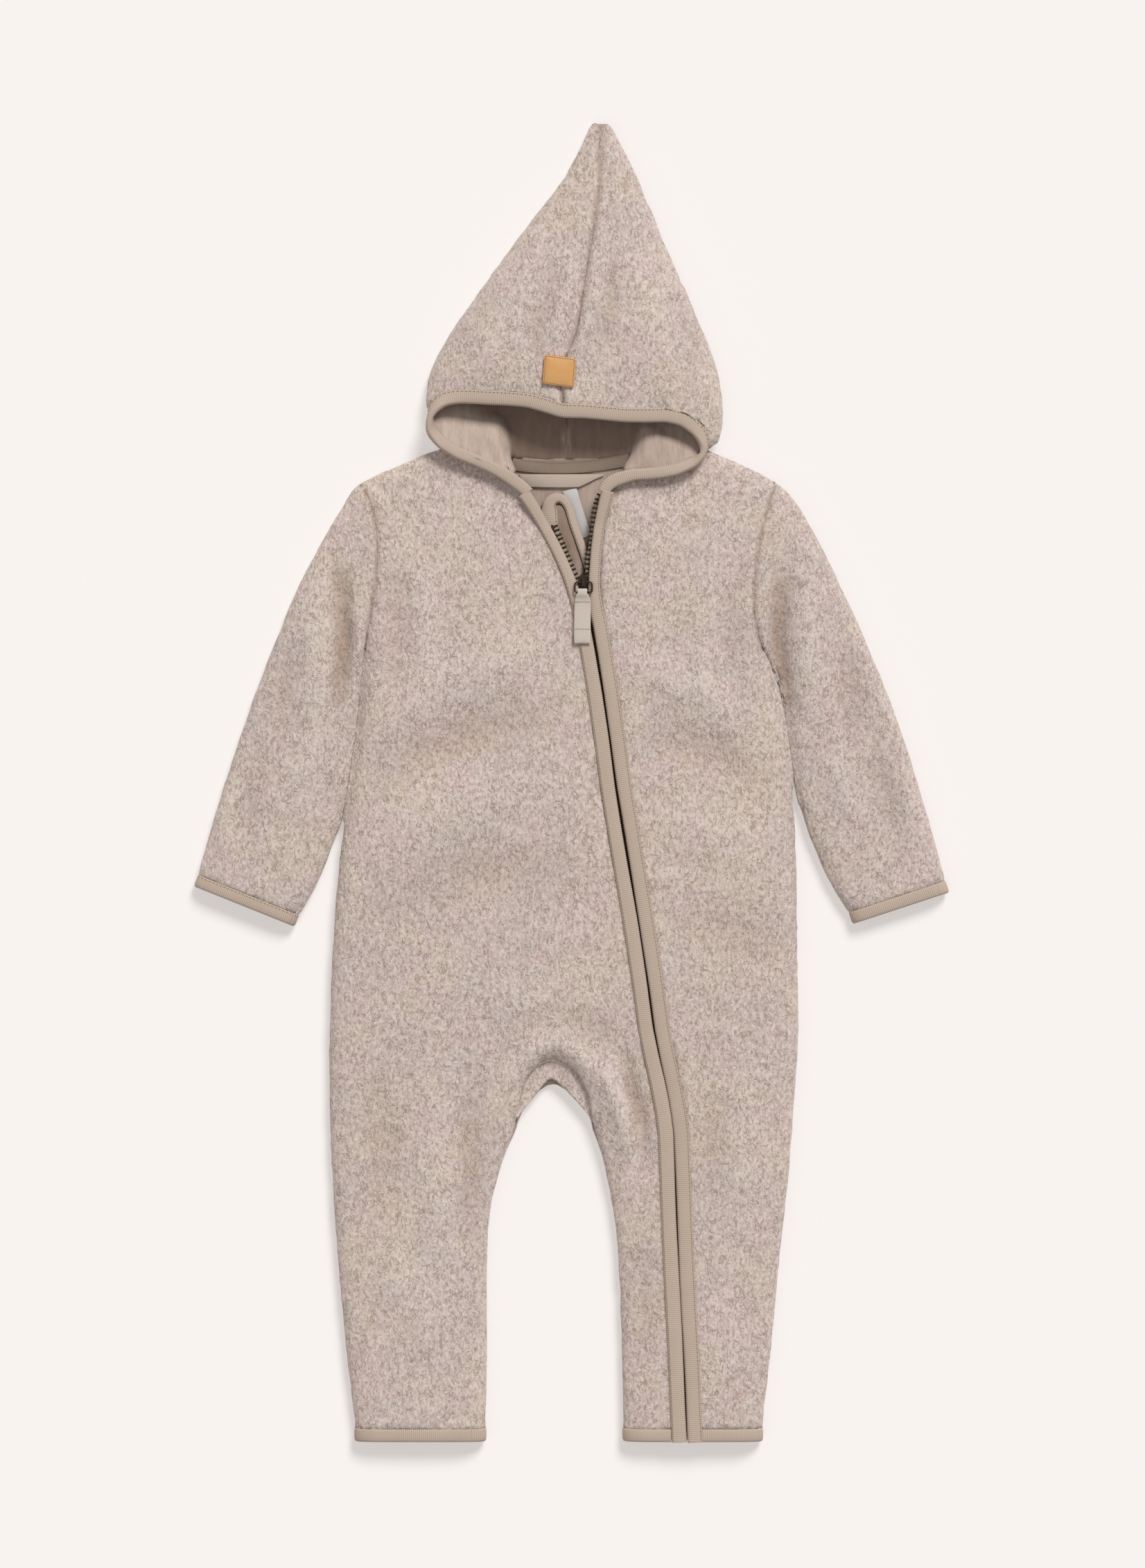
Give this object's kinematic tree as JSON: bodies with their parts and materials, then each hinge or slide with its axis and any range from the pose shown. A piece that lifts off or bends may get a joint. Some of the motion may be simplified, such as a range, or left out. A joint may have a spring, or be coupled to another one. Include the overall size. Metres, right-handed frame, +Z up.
{
  "type": "baby pramsuit",
  "caption": "Hooded fleece pramsuit for a baby, laid flat, with a full-length zip off to one leg and ribbed bindings.",
  "frame": {"origin": "middle of the outline, on the table that the suit lies on", "axes": "+Y from the hems to the hood's point, +X to the wearer's left, +Z up from the table"},
  "size_m": [0.4812, 0.8362, 0.0285],
  "materials": {
    "fleece": "curled fleece, beige mélange",
    "ribbed_binding": "ribbed knit",
    "zip_chain": "dark bronze teeth on woven tape",
    "bronze": "dark bronze, semi-gloss",
    "twill": "twill tape",
    "satin": "white satin ribbon",
    "leather": "smooth tan leather"
  },
  "bodies": {
    "suit": {"back_panel": "fleece", "front_right": "fleece", "front_left": "fleece", "crotch_gusset": "fleece", "sleeve_right": "fleece", "sleeve_left": "fleece", "hood_right": "fleece", "hood_left": "fleece", "underlap": "fleece", "hood_binding": "ribbed_binding", "zip_binding_right": "ribbed_binding", "zip_binding_left": "ribbed_binding", "cuff_binding_right": "ribbed_binding", "cuff_binding_left": "ribbed_binding", "hem_binding_right": "ribbed_binding", "hem_binding_left": "ribbed_binding", "underlap_binding": "ribbed_binding", "neck_tape": "ribbed_binding", "hanger_loop": "ribbed_binding", "zip_right": "zip_chain", "zip_left": "zip_chain", "zip_slider": "bronze", "care_label": "satin", "hood_patch": "leather"},
    "puller": {"puller_ring": "bronze", "pull_tab": "twill"}
  },
  "joints": [
    {"name": "puller_hinge", "type": "hinge", "parent": "suit", "child": "puller", "pos_m": [0.0074, 0.1276, 0.01888], "axis": [-1, 0, 0], "range_deg": [0, 150]}
  ]
}
